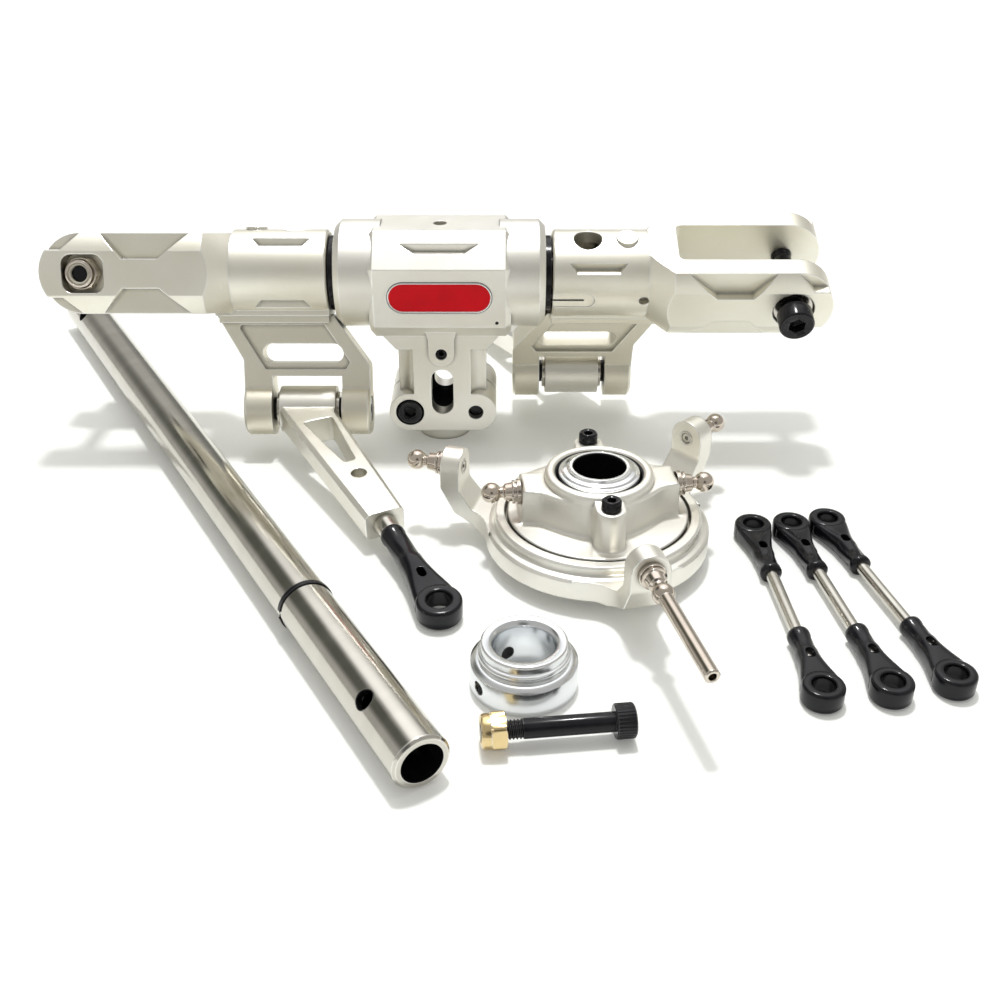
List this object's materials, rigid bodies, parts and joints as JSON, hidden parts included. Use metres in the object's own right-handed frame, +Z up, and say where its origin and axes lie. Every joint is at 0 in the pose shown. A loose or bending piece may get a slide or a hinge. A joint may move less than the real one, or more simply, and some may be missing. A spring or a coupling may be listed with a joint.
{
  "type": "helicopter rotor hub",
  "caption": "Model helicopter rotor head with feathering blade grips and pitch levers, laid out with its mast, swashplate, stop collar, mast bolt and linkage rods.",
  "frame": {"origin": "mast axis at the foot of the head's sleeve, on the surface that the set lies on", "axes": "+Z up along the mast axis, +X along the spindle to the right grip, +Y to the back of the head"},
  "size_m": [0.2407, 0.2422, 0.0603],
  "materials": {
    "aluminium": "bead-blasted, clear anodised",
    "bright_aluminium": "bright turned",
    "steel": "ground and polished",
    "black_oxide": "black oxide",
    "red_plate": "gloss red with a bright rim",
    "link_plastic": "moulded black nylon",
    "brass": "turned brass",
    "rubber": "moulded rubber",
    "nickel": "nickel plated"
  },
  "bodies": {
    "head": {"head_block": "aluminium", "label_plate": "red_plate", "clamp_screws": "black_oxide", "mast_set_screws": "black_oxide", "spindle": "steel", "dampers": "rubber", "spindle_washers": "steel", "spindle_bolts": "black_oxide"},
    "right_grip": {"grip_right": "aluminium", "grip_bearings_right": "steel", "thrust_bearing_right": "steel", "blade_bolt_right": "black_oxide", "blade_washer_right": "steel", "blade_nut_right": "nickel", "pitch_arm_right": "aluminium", "arm_screws_right": "black_oxide", "lever_pin_right": "black_oxide"},
    "right_lever": {"lever_right": "aluminium", "lever_bearings_right": "steel", "lever_stud_right": "steel", "ball_link_right": "link_plastic"},
    "left_grip": {"grip_left": "aluminium", "grip_bearings_left": "steel", "thrust_bearing_left": "steel", "blade_bolt_left": "black_oxide", "blade_washer_left": "steel", "blade_nut_left": "nickel", "pitch_arm_left": "aluminium", "arm_screws_left": "black_oxide", "lever_pin_left": "black_oxide"},
    "left_lever": {"lever_left": "aluminium", "lever_bearings_left": "steel", "lever_stud_left": "steel", "ball_link_left": "link_plastic"},
    "mast": {"mast": "steel", "snap_ring": "black_oxide"},
    "collar": {"mast_collar": "bright_aluminium", "collar_set_screws": "black_oxide"},
    "mast_bolt_and_nut": {"mast_bolt": "black_oxide", "mast_nut": "brass"},
    "swash_lower": {"swash_ring": "aluminium", "horn_balls": "nickel", "antirotation_pin": "nickel", "swash_bearing": "steel"},
    "swash_upper": {"swash_star": "aluminium", "star_balls": "nickel", "star_screws": "black_oxide"},
    "swash_centre_ball": {"swash_ball": "steel"},
    "linkage_1": {"link_rod_1": "steel", "rod_ends_1": "link_plastic"},
    "linkage_2": {"link_rod_2": "steel", "rod_ends_2": "link_plastic"},
    "linkage_3": {"link_rod_3": "steel", "rod_ends_3": "link_plastic"}
  },
  "joints": [
    {"name": "right_feather", "type": "hinge", "parent": "head", "child": "right_grip", "pos_m": [0.0653, 0, 0.0463], "axis": [1, 0, 0], "range_deg": [-40, 10]},
    {"name": "left_feather", "type": "hinge", "parent": "head", "child": "left_grip", "pos_m": [-0.0653, 0, 0.0463], "axis": [-1, 0, 0], "range_deg": [-40, 10]},
    {"name": "right_lever_hinge", "type": "hinge", "parent": "right_grip", "child": "right_lever", "pos_m": [0.036, 0.01212, 0.01208], "axis": [1, 0, 0], "range_deg": [-45, 55]},
    {"name": "left_lever_hinge", "type": "hinge", "parent": "left_grip", "child": "left_lever", "pos_m": [-0.036, -0.01212, 0.01208], "axis": [-1, 0, 0], "range_deg": [-45, 55]},
    {"name": "swashplate_lift", "type": "slide", "parent": "head", "child": "swash_lower", "axis": [0, 0, 1], "range_m": [0, 0.02]},
    {"name": "star_spin", "type": "hinge", "parent": "swash_lower", "child": "swash_upper", "pos_m": [0.0386, -0.0632, 0.01], "axis": [0, 0, 1], "continuous": true},
    {"name": "ball_tilt", "type": "hinge", "parent": "swash_upper", "child": "swash_centre_ball", "pos_m": [0.0386, -0.0632, 0.0182], "axis": [1, 0, 0], "range_deg": [-12, 12]},
    {"name": "mast_slide", "type": "slide", "parent": "head", "child": "mast", "axis": [0.5, -0.866, 0], "range_m": [0, 0.06]},
    {"name": "collar_lift", "type": "slide", "parent": "head", "child": "collar", "axis": [0, 0, 1], "range_m": [0, 0.02]},
    {"name": "mast_bolt_lift", "type": "slide", "parent": "head", "child": "mast_bolt_and_nut", "axis": [0, 0, 1], "range_m": [0, 0.02]},
    {"name": "linkage_1_lift", "type": "slide", "parent": "head", "child": "linkage_1", "axis": [0, 0, 1], "range_m": [0, 0.02]},
    {"name": "linkage_2_lift", "type": "slide", "parent": "head", "child": "linkage_2", "axis": [0, 0, 1], "range_m": [0, 0.02]},
    {"name": "linkage_3_lift", "type": "slide", "parent": "head", "child": "linkage_3", "axis": [0, 0, 1], "range_m": [0, 0.02]}
  ]
}
